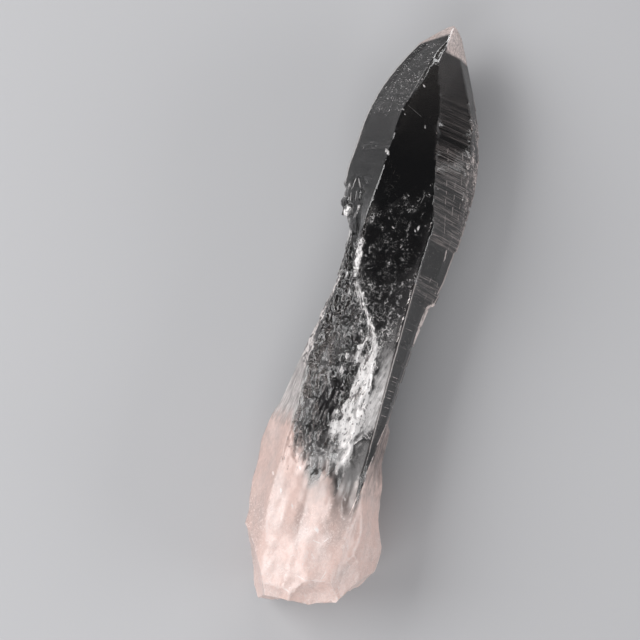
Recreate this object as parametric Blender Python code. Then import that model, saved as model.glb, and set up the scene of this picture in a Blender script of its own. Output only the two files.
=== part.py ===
# A lemurian quartz point, lying on one of its prism faces.
# The tip points along +Y, the broad front face looks up (+Z), and +X is the right side of that front.
# Every station below is in millimetres: the distance down from the tip, then the place across (x) and up (z).

import math

import bmesh
import bpy
from mathutils import Vector, noise

MM = 0.001

REST_LEVEL = 0.0  # the back faces that it lies on
RELIEF_STARTS = 4.0  # the last few millimetres of the tip are smooth

# Driving dimensions of the hexagonal head and of the thinner neck
HEAD_HALF_WIDTH = 13.0
HEAD_HEIGHT = 22.6
KEEL_LEVEL = 11.3
TIP_LEVEL = 11.6
NECK_LEVEL = 0.8  # the neck's back stays clear of the surface

# The eight edge lines that run down the crystal
LEFT_KEEL = (
    (0.5, -0.9, 11.4), (0.9, -1.5, 11.4), (5.6, -6.0, 11.4), (13.0, -9.9, KEEL_LEVEL),
    (20.6, -12.0, KEEL_LEVEL), (27.7, -12.6, KEEL_LEVEL), (36.6, -HEAD_HALF_WIDTH, KEEL_LEVEL),
    (40.3, -12.3, 11.0), (42.3, -11.1, 10.9), (43.9, -10.2, 10.8), (46.6, -9.5, 10.7),
    (52.9, -8.9, 10.4), (59.3, -9.7, 10.0), (81.8, -13.2, 10.2), (85.2, -14.3, 10.4),
    (90.3, -14.9, 10.6), (97.9, -14.4, 10.8), (105.5, -14.0, 10.8), (122.0, -12.5, 10.5),
)
BAND_EDGE = (
    (0.5, -0.55, 11.8), (5.6, -3.9, 13.0), (13.0, -7.2, 14.4), (20.0, -9.4, 15.3),
    (30.0, -10.2, 15.9), (38.0, -10.4, 15.9), (43.0, -9.0, 15.7), (50.0, -8.2, 15.0),
    (54.8, -8.4, 14.3), (59.7, -9.0, 13.8), (66.7, -9.5, 14.4), (72.5, -10.3, 15.2),
    (82.3, -9.9, 16.6), (95.0, -10.4, 17.0), (108.0, -9.6, 17.6), (122.0, -7.0, 17.0),
)
FRONT_STEP = (
    (0.5, -0.12, 12.1), (4.2, -0.6, 14.2), (6.5, -1.8, 15.4), (8.5, -2.4, 16.4),
    (13.6, -3.2, 18.4), (17.9, -4.5, 20.0), (21.1, -5.6, 20.9), (26.3, -5.9, 22.0),
    (34.1, -6.2, HEAD_HEIGHT), (43.0, -7.0, HEAD_HEIGHT), (49.2, -6.9, 21.2),
    (52.3, -5.9, 20.5), (55.8, -5.1, 20.0), (58.2, -3.4, 19.8), (60.5, -2.2, 19.6),
    (65.4, 1.3, 19.4), (71.6, 2.2, 19.4), (78.8, 2.6, 19.7), (90.0, 2.2, 21.0),
    (100.0, 1.4, 21.8), (122.0, 0.4, 20.6),
)
RIGHT_BROW = (
    (0.5, 0.15, 12.1), (4.6, -0.25, 14.4), (7.0, -0.9, 15.7), (8.4, -1.2, 16.4),
    (10.7, -0.8, 17.5), (14.9, 0.2, 19.1), (19.1, 1.2, 20.4), (25.5, 2.1, 21.8),
    (31.0, 3.5, 22.4), (38.2, 4.9, HEAD_HEIGHT), (42.3, 6.1, HEAD_HEIGHT), (50.0, 5.9, 21.3),
    (60.0, 5.9, 19.6), (70.0, 5.9, 19.0), (80.0, 5.9, 19.3), (95.0, 5.8, 20.8),
    (108.0, 5.9, 21.6), (122.0, 4.6, 20.0),
)
RIGHT_BEVEL = (
    (0.5, 0.5, 11.9), (6.0, 2.5, 13.6), (12.0, 5.4, 15.0), (20.0, 9.0, 15.4),
    (30.0, 10.8, 15.3), (43.0, 10.9, 15.4), (52.0, 9.9, 14.8), (57.0, 8.6, 14.6),
    (70.0, 7.9, 14.2), (80.0, 7.7, 14.8), (82.0, 7.9, 16.4), (87.4, 7.3, 18.4),
    (94.4, 6.9, 20.2), (100.0, 8.0, 20.2), (108.0, 9.6, 19.2), (122.0, 8.6, 18.0),
)
RIGHT_KEEL = (
    (0.5, 0.8, 11.5), (2.1, 2.2, 11.4), (6.4, 4.4, 11.4), (12.0, 7.2, KEEL_LEVEL),
    (15.8, 9.0, KEEL_LEVEL), (19.6, 10.6, KEEL_LEVEL), (22.9, 11.5, KEEL_LEVEL),
    (26.5, 12.4, KEEL_LEVEL), (31.5, HEAD_HALF_WIDTH, KEEL_LEVEL), (40.9, 12.8, KEEL_LEVEL),
    (50.8, 12.0, 11.0), (55.6, 11.1, 10.8), (56.5, 10.2, 10.8), (63.4, 9.3, 10.4),
    (73.9, 8.7, 10.2), (80.6, 8.4, 10.2), (82.0, 9.1, 10.6), (88.6, 9.3, 11.0),
    (90.8, 10.1, 11.2), (100.2, 12.2, 11.4), (104.3, 13.6, 11.2), (108.0, 13.8, 11.0),
    (122.0, 13.4, 10.6),
)
RIGHT_HEEL = (
    (0.5, 0.35, 11.0), (5.0, 2.6, 8.3), (12.0, 4.2, 4.7), (20.0, 5.6, 1.7),
    (27.0, 6.3, REST_LEVEL), (45.0, 6.6, REST_LEVEL), (52.0, 6.0, NECK_LEVEL),
    (80.0, 5.2, NECK_LEVEL), (90.0, 6.2, REST_LEVEL), (122.0, 8.2, REST_LEVEL),
)
LEFT_HEEL = (
    (0.5, -0.4, 11.0), (5.0, -2.9, 8.1), (12.0, -5.0, 4.7), (20.0, -6.1, 1.7),
    (27.0, -6.5, REST_LEVEL), (45.0, -6.2, REST_LEVEL), (52.0, -5.2, NECK_LEVEL),
    (80.0, -7.2, NECK_LEVEL), (90.0, -8.6, REST_LEVEL), (122.0, -8.0, REST_LEVEL),
)
EDGE_LINES = (
    LEFT_KEEL, BAND_EDGE, FRONT_STEP, RIGHT_BROW, RIGHT_BEVEL, RIGHT_KEEL, RIGHT_HEEL, LEFT_HEEL,
)
LEFT_BAND, ETCHED_SIDE, FRONT_FACE, LADDER_FACE, BEVEL_FACE, BACK_RIGHT, BACK, BACK_LEFT = range(8)
SIDE_SHARES = (  # where each side between two edge lines has its points, as shares of its width
    (0.0, 0.5),
    (0.0, 0.14, 0.28, 0.42, 0.56, 0.7, 0.83, 0.95),
    (0.0, 0.35, 0.7),
    (0.0, 0.06, 0.36, 0.68),
    (0.0, 0.5),
    (0.0, 0.3, 0.6, 0.94),
    (0.0, 0.3, 0.7),
    (0.0, 0.06, 0.37, 0.7),
)

# Growth ledges across the faces: where each starts and ends, and how deep it is
LADDER_LEDGES = (
    (15.6, 16.1, 0.14), (18.6, 19.0, 0.16), (21.0, 21.5, 0.25), (22.3, 23.3, 0.5),
    (25.8, 26.2, 0.18), (28.3, 28.8, 0.22), (31.0, 31.8, 0.42), (34.8, 35.3, 0.3),
    (37.6, 38.0, 0.2), (40.8, 41.3, 0.2), (44.1, 53.4, 0.34), (55.9, 56.7, 0.3),
    (60.2, 60.8, 0.22), (64.6, 65.4, 0.3), (68.7, 69.2, 0.2), (72.1, 73.2, 0.28),
    (76.6, 77.2, 0.24),
)
LEFT_LEDGES = ((18.6, 19.0, 0.14), (27.2, 28.8, 0.3), (31.0, 31.8, 0.12))
BACK_LEDGES = LADDER_LEDGES[3::4] + ((54.4, 56.7, 0.35), (84.0, 84.8, 0.3))
LEDGE_WALL = 0.05  # how far a ledge's wall runs down the crystal
RING_STEP = 1.75
ETCHED_RING_STEP = 1.15
ETCHED_START, ETCHED_END = 46.0, 92.0
RING_GAP = 0.4  # no two rings come closer than this, apart from a ledge's own
LAST_RING = 121.0
KINK_RINGS = (0.5, 0.9, 2.1, 4.2, 40.3, 42.3, 80.6, 82.0, LAST_RING)

# Rough places: how deep the roughness is, its size across and down the crystal, and its seed
ETCH_PITS = (2.3, 1.7, 4.6, 3.1)
FINE_PITS = (1.3, 0.9, 1.9, 7.4)
TIP_NOTCH = (0.5, 0.8, 0.9, 1.7)
BROKEN_EDGE = (0.9, 1.3, 1.5, 5.2)
BASE_LUMPS = (0.75, 1.7, 6.5, 9.6)
# How far the surface of each rough place lies under its flat side, and where it starts and ends
ETCHED_HOLLOW = 0.9
NOTCH_DEPTH, NOTCH_START, NOTCH_END = 0.35, 5.4, 11.5
BROKEN_DEPTH, BROKEN_START, BROKEN_END = 0.35, 37.0, 58.0
BASE_DEPTH, BASE_START, BASE_FULL = 0.3, 84.0, 98.0
MOST_BULGE = 0.45  # nothing stands further out of a side than this

# Scars of the broken base and a few chips: a point on the scar, the way it faces, its radius
END_SCARS = (
    ((-1.5, -118.7, 11.0), (0.05, -1.0, 0.1), 70.0),
    ((11.3, -111.3, 12.0), (0.78, -0.6, 0.16), 42.0),
    ((3.6, -116.0, 11.0), (0.4, -0.9, -0.14), 48.0),
    ((-9.6, -112.4, 11.0), (-0.86, -0.5, 0.1), 55.0),
    ((2.5, -114.6, 19.8), (0.16, -0.6, 0.78), 15.0),
    ((-5.6, -115.4, 18.6), (-0.3, -0.62, 0.72), 13.0),
    ((9.4, -107.6, 18.4), (0.6, -0.3, 0.74), 17.0),
    ((-2.0, -115.8, 2.6), (0.1, -0.64, -0.76), 18.0),
)
SIDE_SCARS = (
    ((-11.5, -98.5, 16.2), (-0.62, -0.06, 0.78), 24.0),
    ((12.2, -101.5, 8.6), (0.92, -0.1, -0.36), 20.0),
    ((-12.8, -103.0, 7.4), (-0.9, -0.2, -0.4), 22.0),
    ((9.9, -92.6, 15.4), (0.9, 0.1, 0.42), 15.0),
)
CHIPS = (
    ((-6.1, -30.3, 22.0), (-0.45, 0.2, 0.87), 1.6),
    ((1.4, -21.9, 20.9), (-0.1, 0.1, 1.0), 1.2),
    ((-11.7, -41.2, 13.4), (-0.95, -0.1, 0.3), 3.6),
    ((-9.1, -47.2, 12.6), (-0.95, 0.0, 0.3), 2.6),
)

# Small blades grown on the left edge: the point of each, its foot, and its half width
BLADES = (
    ((-10.5, -33.6, 15.2), (-9.7, -42.8, 12.3), 1.5),
    ((-8.5, -46.0, 14.9), (-7.7, -55.0, 12.6), 1.5),
    ((-7.1, -43.6, 20.9), (-5.6, -53.4, 18.2), 1.5),
)
SCAR_FACETS = 5
CHIP_FACETS = 3

QUARTZ_COLOUR = (0.86, 0.83, 0.82, 1.0)
QUARTZ_ROUGHNESS = 0.08
QUARTZ_IOR = 1.544


def on_line(line, down):
    """The place across and up of an edge line, this far down from the tip."""
    if down <= line[0][0]:
        return Vector(line[0][1:])
    for (start, x0, z0), (end, x1, z1) in zip(line, line[1:]):
        if down <= end:
            share = (down - start) / (end - start)
            return Vector((x0 + (x1 - x0) * share, z0 + (z1 - z0) * share))
    return Vector(line[-1][1:])


def ramp(value, start, end):
    """0 before start, 1 after end, and smooth between."""
    share = min(max((value - start) / (end - start), 0.0), 1.0)
    return share * share * (3.0 - 2.0 * share)


def span(value, start, end, soft):
    """1 between start and end, fading to 0 over a soft distance outside them."""
    return ramp(value, start - soft, start) * (1.0 - ramp(value, end, end + soft))


def ledge_depth(ledges, down):
    return max((depth for start, end, depth in ledges if start < down < end), default=0.0)


def rough(kind, across, down):
    """Smooth noise that is stretched down the crystal, as deep as this kind of rough place."""
    depth, size_across, size_down, seed = kind
    return depth * noise.noise(Vector((across / size_across, down / size_down, seed)))


def relief(side, share, down):
    """How far the surface lies under the flat side here, in millimetres."""
    across = 6.0 * (side + share)
    depth = 0.0
    if (side, share) != (LADDER_FACE, 0.0) and side in (LADDER_FACE, BEVEL_FACE, BACK_RIGHT):
        depth += ledge_depth(LADDER_LEDGES, down)
    if side in (LEFT_BAND, ETCHED_SIDE):
        depth += ledge_depth(LEFT_LEDGES, down)
    if side == BACK_LEFT and share > 0.0:
        depth += ledge_depth(BACK_LEDGES, down)
    if side == ETCHED_SIDE and share > 0.0:
        etched = span(down, ETCHED_START + 1.0, ETCHED_END - 4.0, 4.0)
        inside = math.sin(math.pi * share)
        pits = rough(ETCH_PITS, across, down) + rough(FINE_PITS, across, down)
        depth += etched * (ETCHED_HOLLOW * inside**0.6 + pits * inside**0.4)
    if side == FRONT_FACE and share > 0.0:
        notch = span(down, NOTCH_START, NOTCH_END, 1.2)
        depth += notch * (NOTCH_DEPTH + rough(TIP_NOTCH, across, down))
    if side in (LEFT_BAND, ETCHED_SIDE) and share < 0.5:
        broken = span(down, BROKEN_START, BROKEN_END, 3.0)
        depth += broken * (BROKEN_DEPTH + rough(BROKEN_EDGE, across, down))
    if side != BACK:
        flared = ramp(down, BASE_START, BASE_FULL)
        depth += flared * (BASE_DEPTH + rough(BASE_LUMPS, across, down))
    fade = ramp(down, RELIEF_STARTS, RELIEF_STARTS + 2.0)
    return max(depth, -MOST_BULGE) * fade


def ring_places():
    """The distances down the crystal where the section is taken, with a pair at each ledge's walls."""
    walls = set()
    for ledges in (LADDER_LEDGES, LEFT_LEDGES, BACK_LEDGES):
        for start, end, _ in ledges:
            walls |= {start - LEDGE_WALL, start + 1e-3, end - 1e-3, end + LEDGE_WALL}
    places = sorted(walls)
    plain = list(KINK_RINGS)
    down = RING_STEP
    while down < LAST_RING:
        plain.append(down)
        down += ETCHED_RING_STEP if ETCHED_START < down < ETCHED_END else RING_STEP
    for down in plain:
        if all(abs(down - other) > RING_GAP for other in places):
            places.append(down)
    return sorted(places)


def section(down):
    """One closed ring of points round the crystal, this far down from the tip."""
    corners = [on_line(line, down) for line in EDGE_LINES]
    middle = sum(corners, Vector((0.0, 0.0))) / len(corners)
    ring = []
    for side, shares in enumerate(SIDE_SHARES):
        start = corners[side]
        end = corners[(side + 1) % len(corners)]
        for share in shares:
            flat = start.lerp(end, share)
            inward = (middle - flat).normalized()
            point = flat + inward * relief(side, share, down)
            ring.append(Vector((point.x, -down, max(point.y, REST_LEVEL))) * MM)
    return ring


def crystal_mesh():
    """The crystal as a loft between its unlike sections, before the base is broken off."""
    form = bmesh.new()
    rings = [[form.verts.new(point) for point in section(down)] for down in ring_places()]
    tip = form.verts.new(Vector((0.0, 0.0, TIP_LEVEL)) * MM)
    for upper, lower in zip(rings, rings[1:]):
        for i in range(len(upper)):
            j = (i + 1) % len(upper)
            form.faces.new((upper[i], lower[i], lower[j], upper[j]))
    for i in range(len(rings[0])):
        form.faces.new((tip, rings[0][i], rings[0][(i + 1) % len(rings[0])]))
    form.faces.new(rings[-1])
    bmesh.ops.triangulate(form, faces=form.faces, quad_method="SHORT_EDGE")
    bmesh.ops.recalc_face_normals(form, faces=form.faces)
    mesh = bpy.data.meshes.new("quartz_point")
    form.to_mesh(mesh)
    form.free()
    return mesh


def quartz_material():
    material = bpy.data.materials.new("clear_quartz")
    material.use_nodes = True
    shader = material.node_tree.nodes["Principled BSDF"]
    shader.inputs["Base Color"].default_value = QUARTZ_COLOUR
    shader.inputs["Roughness"].default_value = QUARTZ_ROUGHNESS
    shader.inputs["Metallic"].default_value = 0.0
    shader.inputs["IOR"].default_value = QUARTZ_IOR
    shader.inputs["Transmission Weight"].default_value = 1.0
    return material


def cut_scar(crystal, cutters, name, scar, facets):
    """A shallow shell-shaped scar: a large ball that only just reaches under the surface."""
    point, facing, radius = scar
    outward = Vector(facing).normalized()
    ball = bmesh.new()
    bmesh.ops.create_icosphere(ball, subdivisions=facets, radius=radius * MM)
    mesh = bpy.data.meshes.new(name)
    ball.to_mesh(mesh)
    ball.free()
    cutter = bpy.data.objects.new(name, mesh)
    cutter.location = (Vector(point) + outward * radius) * MM
    cutter.hide_render = True
    cutter.display_type = "WIRE"
    cutters.objects.link(cutter)
    cut = crystal.modifiers.new(name, "BOOLEAN")
    cut.operation = "DIFFERENCE"
    cut.solver = "EXACT"
    cut.object = cutter


def grow_blade(crystal, cutters, name, blade):
    """A four-sided blade that points up the crystal and is fused to it."""
    point, foot, half_width = blade
    along = (Vector(point) - Vector(foot)) * MM
    spike = bmesh.new()
    bmesh.ops.create_cone(
        spike, cap_ends=True, segments=4, radius1=half_width * MM, radius2=0.1 * MM, depth=along.length
    )
    mesh = bpy.data.meshes.new(name)
    spike.to_mesh(mesh)
    spike.free()
    grown = bpy.data.objects.new(name, mesh)
    grown.location = (Vector(point) + Vector(foot)) / 2 * MM
    grown.rotation_euler = along.to_track_quat("Z", "Y").to_euler()
    grown.hide_render = True
    grown.display_type = "WIRE"
    cutters.objects.link(grown)
    join = crystal.modifiers.new(name, "BOOLEAN")
    join.operation = "UNION"
    join.solver = "EXACT"
    join.object = grown


def centre_on_base(crystal):
    """Puts the point under the middle of the crystal's box at the scene's origin."""
    bpy.context.view_layer.update()
    shape = crystal.evaluated_get(bpy.context.evaluated_depsgraph_get()).to_mesh()
    corners = [vertex.co.copy() for vertex in shape.vertices]
    low = Vector([min(corner[axis] for corner in corners) for axis in range(3)])
    high = Vector([max(corner[axis] for corner in corners) for axis in range(3)])
    shift = Vector(((low.x + high.x) / 2, (low.y + high.y) / 2, low.z))
    for piece in bpy.data.objects:
        piece.location -= shift


def main():
    for existing in list(bpy.data.objects):
        bpy.data.objects.remove(existing, do_unlink=True)
    parts = bpy.data.collections.new("lemurian_quartz_point")
    cutters = bpy.data.collections.new("cutters")
    bpy.context.scene.collection.children.link(parts)
    bpy.context.scene.collection.children.link(cutters)

    crystal = bpy.data.objects.new("quartz_point", crystal_mesh())
    crystal.data.materials.append(quartz_material())
    parts.objects.link(crystal)
    for number, blade in enumerate(BLADES, 1):
        grow_blade(crystal, cutters, f"blade_{number}", blade)
    for number, scar in enumerate(END_SCARS + SIDE_SCARS, 1):
        cut_scar(crystal, cutters, f"scar_{number}", scar, SCAR_FACETS)
    for number, chip in enumerate(CHIPS, 1):
        cut_scar(crystal, cutters, f"chip_{number}", chip, CHIP_FACETS)
    centre_on_base(crystal)


main()
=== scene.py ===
# Looks of the quartz point: its fine surface, its frost, the veils inside, and the light it lies in.

import math
import random

import bmesh
import bpy
import numpy as np
from mathutils import Euler, Matrix, Vector, noise
from mathutils.bvhtree import BVHTree


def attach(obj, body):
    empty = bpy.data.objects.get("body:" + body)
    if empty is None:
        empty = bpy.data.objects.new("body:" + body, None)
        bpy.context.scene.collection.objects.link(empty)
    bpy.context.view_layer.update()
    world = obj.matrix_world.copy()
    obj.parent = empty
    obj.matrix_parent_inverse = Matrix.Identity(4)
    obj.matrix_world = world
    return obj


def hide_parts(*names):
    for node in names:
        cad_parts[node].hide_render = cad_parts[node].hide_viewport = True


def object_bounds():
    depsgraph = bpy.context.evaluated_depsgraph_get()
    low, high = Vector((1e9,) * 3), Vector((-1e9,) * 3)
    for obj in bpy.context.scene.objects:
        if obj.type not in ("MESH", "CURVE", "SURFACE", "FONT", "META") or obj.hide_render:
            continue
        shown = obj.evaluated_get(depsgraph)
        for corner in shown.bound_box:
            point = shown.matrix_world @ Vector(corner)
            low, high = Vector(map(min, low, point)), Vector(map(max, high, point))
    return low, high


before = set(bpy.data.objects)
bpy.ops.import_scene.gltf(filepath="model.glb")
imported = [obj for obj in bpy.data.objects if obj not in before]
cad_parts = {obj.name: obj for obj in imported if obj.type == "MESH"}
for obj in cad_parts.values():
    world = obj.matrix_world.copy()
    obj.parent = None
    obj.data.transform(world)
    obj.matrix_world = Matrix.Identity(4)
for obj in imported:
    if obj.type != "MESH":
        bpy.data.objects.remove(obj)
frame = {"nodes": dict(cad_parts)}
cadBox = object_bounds()
mm = 0.001
print("frame loaded:", ", ".join(frame["nodes"]))

# Places on the crystal are in mm: how far down from its point, then how far across, more to the right
tipY = cadBox[1].y / mm
headEnd = 43
leftFaceEnd = 47
ridgeLeft = (
    (0, 0.5), (4.2, 0.0), (6.5, -1.2), (8.5, -1.8), (13.6, -2.6), (17.9, -3.9), (21.1, -5.0), (26.3, -5.3),
    (34.1, -5.6), (43, -6.4),
)
ridgeEtched = (
    (43, -6.4), (49.2, -6.3), (52.3, -5.3), (55.8, -4.5), (58.2, -2.8), (60.5, -1.6), (65.4, 1.9),
    (71.6, 2.8), (78.8, 3.2), (90, 2.8), (100, 2.0), (122, 1.0),
)
ridgeRight = (
    (0, 0.7), (4.6, 0.35), (7, -0.3), (8.4, -0.6), (10.7, -0.2), (14.9, 0.8), (19.1, 1.8), (25.5, 2.7),
    (31, 4.1), (38.2, 5.5), (42.3, 6.7), (50, 6.5), (95, 6.4), (108, 6.5), (122, 5.2),
)
bandEdge = (
    (40, -9.4), (50, -7.6), (54.8, -7.8), (59.7, -8.4), (66.7, -8.9), (72.5, -9.7), (82.3, -9.3),
    (95, -9.8), (108, -9.0), (122, -6.4),
)

# Levels in mm over the surface that the crystal lies on: each zone lies above its own
level = {"resting": 0.02, "band": 6, "etched": 8, "upper": 8.5, "ladder": 9, "keel": 11.2, "front": 12}


def ramp(value, start, end):  # 0 before start, 1 after end, smooth between
    share = np.clip((value - start) / (end - start), 0, 1)
    return share * share * (3 - 2 * share)


def span(value, start, end, soft):  # 1 from start to end, fading out over soft
    return ramp(value, start - soft, start) * (1 - ramp(value, end, end + soft))


def acrossAt(line, down):  # where a line down the crystal lies, this far from the point
    return np.interp(down, [place[0] for place in line], [place[1] for place in line])


def grain(places, size, seed, layers=1):  # noise from about -1 to 1; size is in mm along x, y and z
    scaled = places / np.array(size) + seed
    if layers == 1:
        return np.array([noise.noise(Vector(place)) for place in scaled])
    return np.array([noise.fractal(Vector(place), 0.8, 2.1, layers) for place in scaled])


# The fine mesh: a copy of the solid, cut into rings, then split finer

surface = {
    "weld": 0.002,  # mm, as the other lengths here
    "rings": (0.6, 119.5),
    "ringGap": ((0, 0.4), (12, 0.6), (38, 0.6), (46, 0.4), (92, 0.4), (100, 0.55), (121, 0.55)),
    "onRing": 0.02,  # how near a ring a point may lie and count as on it
    "widest": 0.72,
    "widestTurns": 6,
    "flatJoin": math.radians(9),
    "sharpAngle": math.radians(28),
    "shortest": 0.012,
    "shortestTurns": 6,
    "flattest": 0.008,  # a triangle less high than this is flat
    "flattestTurns": 2,
    "etchedWidest": 0.31,
    "etchedTurns": 2,
    "etchedPlace": (39, 93, -15, 4.4),  # from and to: down, then across
    "etchedAbove": 9,
}


def ringPlaces():
    places = []
    down, lowest = surface["rings"]
    while down < lowest:
        places.append((tipY - down) * mm)
        down += acrossAt(surface["ringGap"], down)
    return places[::-1]


def cutAcross(form, faces, places):  # cuts faces at each place along the crystal, the middle one first
    if not places or not faces:
        return
    middle = len(places) // 2
    cutY = places[middle]
    whole = dict.fromkeys(faces)
    for face in faces:
        whole.update(dict.fromkeys(face.edges))
        whole.update(dict.fromkeys(face.verts))
    near = surface["onRing"] * mm
    cut = bmesh.ops.bisect_plane(form, geom=list(whole), dist=near, plane_co=(0, cutY, 0), plane_no=(0, 1, 0))
    faces = [part for part in cut["geom"] if isinstance(part, bmesh.types.BMFace)]
    centres = [sum(corner.co.y for corner in face.verts) / len(face.verts) for face in faces]
    cutAcross(form, [face for face, y in zip(faces, centres) if y < cutY], places[:middle])
    cutAcross(form, [face for face, y in zip(faces, centres) if y >= cutY], places[middle + 1:])


def splitWide(form):  # halves what is wide across the crystal until it is fine enough
    for turn in range(surface["widestTurns"]):
        wide = [edge for edge in form.edges if edge.calc_length() > surface["widest"] * mm]
        if not wide:
            break
        bmesh.ops.subdivide_edges(form, edges=wide, cuts=1, use_grid_fill=True)
    top, bottom, left, right = surface["etchedPlace"]
    for turn in range(surface["etchedTurns"]):
        wide = []
        for edge in form.edges:
            middle = (edge.verts[0].co + edge.verts[1].co) / 2 / mm
            there = top < tipY - middle.y < bottom and left < middle.x < right
            wider = edge.calc_length() > surface["etchedWidest"] * mm
            if there and wider and middle.z > surface["etchedAbove"]:
                wide.append(edge)
        bmesh.ops.subdivide_edges(form, edges=wide, cuts=1, use_grid_fill=True)
    bmesh.ops.triangulate(form, faces=form.faces, quad_method="BEAUTY", ngon_method="BEAUTY")


def dropTwins(form):  # two triangles may lie on the same three corners, and then both go
    seen = {}
    for face in form.faces:
        seen.setdefault(frozenset(face.verts), []).append(face)
    twins = [face for faces in seen.values() if len(faces) > 1 for face in faces]
    bmesh.ops.delete(form, geom=twins, context="FACES")


def mergeShort(form):  # merges the two ends of each very short edge where the surface stays closed
    for turn in range(surface["shortestTurns"]):
        taken = set()
        merged = {}
        for edge in form.edges:
            if edge.calc_length() > surface["shortest"] * mm:
                continue
            first, second = edge.verts
            ring = {corner for point in edge.verts for face in point.link_faces for corner in face.verts}
            shared = {line.other_vert(first) for line in first.link_edges}
            shared &= {line.other_vert(second) for line in second.link_edges}
            if len(shared) == 2 and not ring & taken:
                merged[first] = second
                taken |= ring
        if not merged:
            break
        bmesh.ops.weld_verts(form, targetmap=merged)


def isFlat(face):
    longest = max(edge.calc_length() for edge in face.edges)
    return face.calc_area() * 2 < longest * surface["flattest"] * mm


def turnFlat(form):  # a triangle as flat as a line lends its longest edge to the corners on both sides of it
    for face in list(form.faces):
        if not face.is_valid or not isFlat(face):
            continue
        longest = max(face.edges, key=lambda edge: edge.calc_length())
        tops = [point for side in longest.link_faces for point in side.verts if point not in longest.verts]
        joined = len(tops) != 2 or any(edge.other_vert(tops[0]) is tops[1] for edge in tops[0].link_edges)
        if not joined and not all(isFlat(side) for side in longest.link_faces):
            bmesh.utils.edge_rotate(longest, False)


ease = {
    "start": 8.6,
    "end": 43.2,
    "leftEnd": 33.0,
    "sharp": math.radians(12),
    "downward": 0.7,  # how straight down the crystal an edge runs that is kept sharp, from 0 to 1
    "fromRidge": 0.35,
    "above": 0.05,
    "factor": 0.5,
    "turns": 110,
}


def easeEdges(points):  # straightens the edges that run down the head, each point between its two neighbours
    between = {}
    known = set(points)
    for point in points:
        others = [edge.other_vert(point) for edge in point.link_edges]
        others = sorted((other for other in others if other in known), key=lambda other: other.co.y)
        if len(others) > 1 and others[0].co.y < point.co.y < others[-1].co.y:
            between[point] = (others[0], others[-1])
    for turn in range(ease["turns"]):
        middles = {point: (pair[0].co + pair[1].co) / 2 for point, pair in between.items()}
        for point, middle in middles.items():
            point.co = (point.co + middle) / 2


def easeLedges(form):  # the coarse ledges of the head and the blocky notch become shallow
    form.normal_update()
    kept = {}
    for edge in form.edges:
        along = (edge.verts[0].co - edge.verts[1].co).normalized()
        if abs(along.y) > ease["downward"] and edge.calc_face_angle(0) > ease["sharp"]:
            kept.update(dict.fromkeys(edge.verts))
    easeEdges([point for point in kept if ease["start"] < tipY - point.co.y / mm < ease["leftEnd"]])
    eased = []
    for point in form.verts:
        down = tipY - point.co.y / mm
        across, up = point.co.x / mm, point.co.z / mm
        fromLeft = across - acrossAt(ridgeLeft, down)
        fromRight = acrossAt(ridgeRight, down) - across
        onHead = ease["start"] < down < ease["end"] and (fromLeft > 0 or down < ease["leftEnd"])
        inFront = up > level["front"] and fromLeft > ease["fromRidge"] and fromRight > ease["fromRidge"]
        if onHead and up > ease["above"] and (inFront or point not in kept):
            eased.append(point)
    axes = {"use_axis_x": True, "use_axis_y": True, "use_axis_z": True}
    for turn in range(ease["turns"]):
        bmesh.ops.smooth_vert(form, verts=eased, factor=ease["factor"], **axes)


def fineCopy(node):
    form = bmesh.new()
    form.from_mesh(node.data)
    bmesh.ops.remove_doubles(form, verts=form.verts, dist=surface["weld"] * mm)
    bmesh.ops.join_triangles(
        form, faces=form.faces, angle_face_threshold=surface["flatJoin"], angle_shape_threshold=math.pi
    )
    cutAcross(form, list(form.faces), ringPlaces())
    splitWide(form)
    dropTwins(form)
    for turn in range(surface["flattestTurns"]):
        mergeShort(form)
        turnFlat(form)
    easeLedges(form)
    form.normal_update()
    return form


form = fineCopy(frame["nodes"]["quartz_point"])
form.verts.ensure_lookup_table()
print("fine mesh:", len(form.verts), "points,", len(form.faces), "triangles")

# Noise over the surface: its size in mm along x, y and z, its seed and its layers

noises = {
    "pits": ((0.85, 2.3, 0.85), 3.1),
    "flakes": ((0.5, 1.5, 0.5), 8.4),
    "skin": ((0.3, 0.42, 0.3), 5.7),
    "hackle": ((1.6, 2.6, 1.6), 1.9),
    "chips": ((0.5, 0.6, 0.5), 9.2),
    "cloud": ((3.2, 5.0, 3.2), 2.2, 4),
    "wisp": ((1.1, 2.6, 1.1), 4.6, 3),
    "clump": ((2.2, 4.4, 2.2), 7.7, 2),
    "fingers": ((0.9, 7.0, 0.9), 6.6, 2),
}

places = np.array([point.co for point in form.verts]) / mm
normals = np.array([point.normal for point in form.verts])
down = tipY - places[:, 1]
across = places[:, 0]
up = places[:, 2]
resting = up < level["resting"]
leftRidge = np.where(down < headEnd, acrossAt(ridgeLeft, down), acrossAt(ridgeEtched, down))
rightRidge = acrossAt(ridgeRight, down)
band = acrossAt(bandEdge, down)
beside = across - rightRidge  # mm to the right of the ladder face's ridge


def rising(least, more, start, end):  # least before start, and more than that after end, in mm down
    return least + more * ramp(down, start, end)


def stretch(share, start, end, soft):  # a share from start to end, in mm down
    return share * span(down, start, end, soft)


# Rough zones, from 0 to 1 at every point. A reach gives from and to in mm down, and how softly

zones = {
    "etchedReach": (50, 91, 5),
    "etchedPastRidge": 0.4,
    "etchedPastBand": (0.2, 4, 64, 76),  # mm, and how much more above a place, from and to down
    "smoothNearBand": (0.85, 66, 84),
    "smoothWidth": 1.3,
    "growth": (0.4, 40, 60, 3),
    "growthPastRidge": 1.5,
    "mottledFrom": (34, 48),
    "mottledTo": (88, 92),
    "brokenFrom": (84, 100),
    "raggedReach": (18, 54, 3),
    "raggedBeside": (5.8, 7.6),
}

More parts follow.
